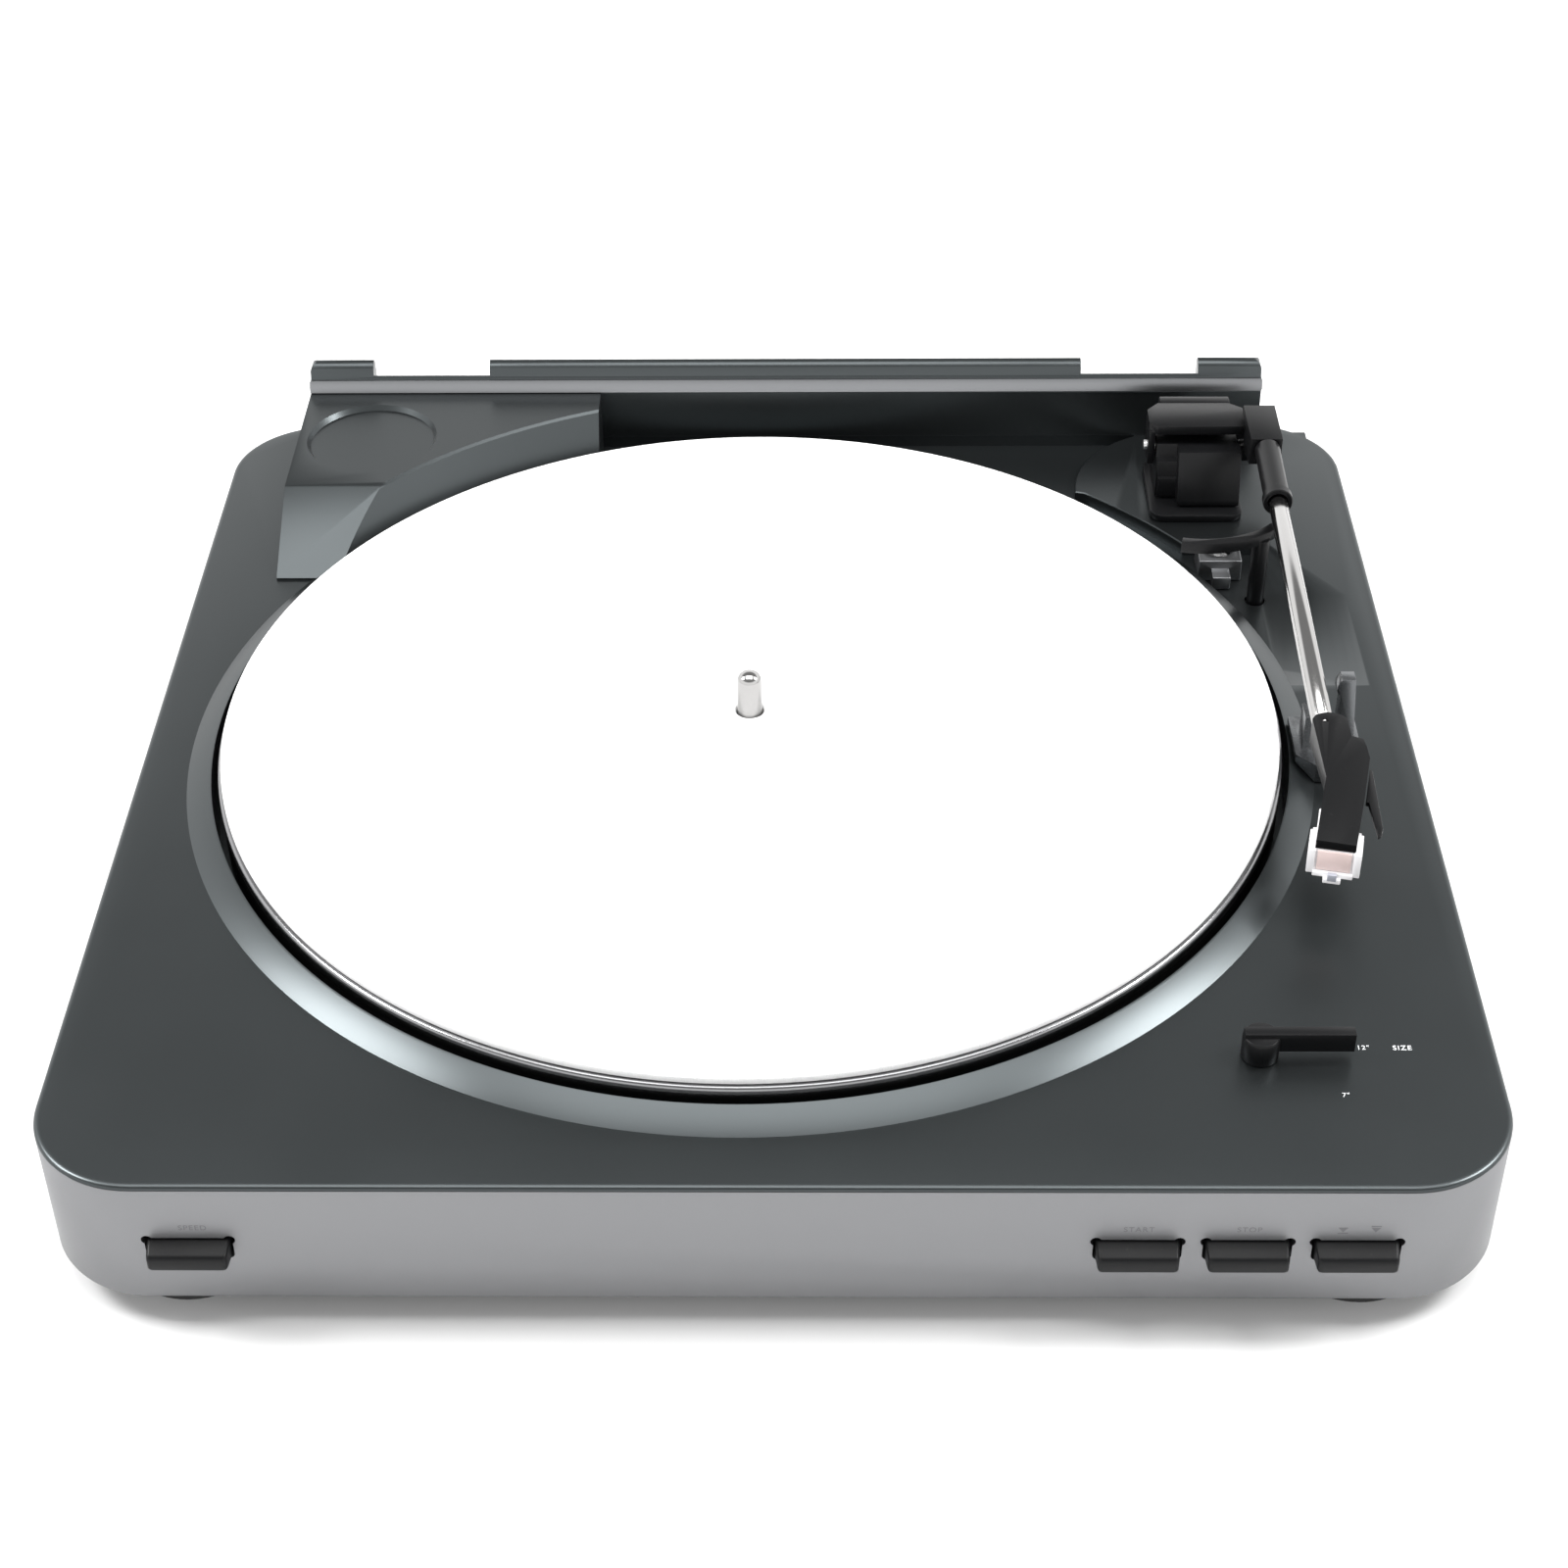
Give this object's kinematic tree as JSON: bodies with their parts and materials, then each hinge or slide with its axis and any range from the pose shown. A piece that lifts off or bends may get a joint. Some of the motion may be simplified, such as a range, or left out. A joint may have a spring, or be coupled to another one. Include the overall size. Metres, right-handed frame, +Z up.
{
  "type": "turntable record player",
  "caption": "Low automatic belt-drive record player: satin deck, felt-topped platter in a raised ring, straight tonearm on the right, hinge rail at the back.",
  "frame": {"origin": "centre of the footprint's bounding box, on the surface the feet stand on", "axes": "+X to the player's right, +Y to the back, +Z up; the push buttons face -Y"},
  "size_m": [0.36, 0.356, 0.0779],
  "materials": {
    "deck": "satin dark gunmetal with fine metallic flake",
    "silver": "satin silver paint",
    "black": "fine matt black moulding",
    "chrome": "polished tube and spindle",
    "felt": "white wool felt",
    "rubber": "matt rubber",
    "cast": "cast and turned",
    "steel": "plated steel",
    "brass": "turned brass",
    "nylon": "moulded nylon",
    "board": "circuit board laminate",
    "clear": "white moulded plastic"
  },
  "bodies": {
    "cabinet": {"top_cover": "deck", "cabinet_wall": "silver", "bottom_plate": "black", "rail_trim": "silver", "power_lead_gland": "black", "audio_lead_gland": "black", "selector_body": "black", "spindle": "chrome", "spindle_bush": "brass", "cam_wheel_pin": "steel", "motor": "steel", "motor_cushion": "rubber", "drive_belt": "rubber", "arm_base_plate": "black", "arm_bearing_post": "steel", "arm_rest": "deck", "transport_bracket": "deck", "transport_screw": "steel", "circuit_board": "board", "transformer": "steel", "foot_front_left": "rubber", "foot_rear_left": "rubber", "foot_front_right": "rubber", "foot_rear_right": "rubber", "cover_screw_1": "steel", "cover_screw_2": "steel", "cover_screw_3": "steel", "cover_screw_4": "steel"},
    "platter_set": {"platter": "cast", "felt_mat": "felt", "hub_pinion": "nylon"},
    "pulley": {"motor_pulley": "brass"},
    "cam": {"cam_wheel": "nylon"},
    "turret": {"arm_turret": "black", "pivot_shaft": "steel"},
    "arm": {"arm_yoke": "black", "counterweight": "black", "arm_tube": "chrome", "arm_sleeve": "black", "headshell": "black", "finger_lift": "black", "cartridge": "clear", "stylus": "clear"},
    "lifter": {"arm_lifter": "black"},
    "speed": {"speed_button": "black"},
    "start": {"start_button": "black"},
    "stop": {"stop_button": "black"},
    "lift": {"lift_button": "black"},
    "size": {"size_lever": "black"},
    "selector": {"selector_knob": "black"}
  },
  "joints": [
    {"name": "platter_spin", "type": "hinge", "parent": "cabinet", "child": "platter_set", "pos_m": [-0.008, 0.0027, 0.045], "axis": [0, 0, -1], "continuous": true},
    {"name": "motor_pulley_spin", "type": "hinge", "parent": "cabinet", "child": "pulley", "pos_m": [-0.07, 0.062, 0.042], "axis": [0, 0, -1], "continuous": true},
    {"name": "cam_wheel_turn", "type": "hinge", "parent": "cabinet", "child": "cam", "pos_m": [0.02618, 0.03348, 0.0343], "axis": [0, 0, 1], "continuous": true},
    {"name": "arm_swing", "type": "hinge", "parent": "cabinet", "child": "turret", "pos_m": [0.1315, 0.1345, 0.0635], "axis": [0, 0, -1], "range_deg": [0, 35]},
    {"name": "arm_tilt", "type": "hinge", "parent": "turret", "child": "arm", "pos_m": [0.1315, 0.1345, 0.0635], "axis": [-1, 0, 0], "range_deg": [0, 3.4]},
    {"name": "arm_lifter_rise", "type": "slide", "parent": "cabinet", "child": "lifter", "axis": [0, 0, 1], "range_m": [0, 0.0036]},
    {"name": "lift_button_press", "type": "slide", "parent": "cabinet", "child": "lift", "axis": [0, 1, 0], "range_m": [0, 0.003]},
    {"name": "speed_button_press", "type": "slide", "parent": "cabinet", "child": "speed", "axis": [0, 1, 0], "range_m": [0, 0.003], "stiffness_N_per_m": 300},
    {"name": "start_button_press", "type": "slide", "parent": "cabinet", "child": "start", "axis": [0, 1, 0], "range_m": [0, 0.003], "stiffness_N_per_m": 300},
    {"name": "stop_button_press", "type": "slide", "parent": "cabinet", "child": "stop", "axis": [0, 1, 0], "range_m": [0, 0.003], "stiffness_N_per_m": 300},
    {"name": "size_lever_turn", "type": "hinge", "parent": "cabinet", "child": "size", "pos_m": [0.121, -0.1274, 0.05], "axis": [0, 0, -1], "range_deg": [0, 38]},
    {"name": "selector_slide", "type": "slide", "parent": "cabinet", "child": "selector", "axis": [1, 0, 0], "range_m": [0, 0.004]}
  ],
  "couplings": [
    {"joint": "motor_pulley_spin", "follows": "platter_spin", "ratio": 10.268},
    {"joint": "arm_lifter_rise", "follows": "arm_tilt", "m_per_rad": 0.0605},
    {"joint": "lift_button_press", "follows": "arm_tilt", "m_per_rad": 0.05039}
  ]
}
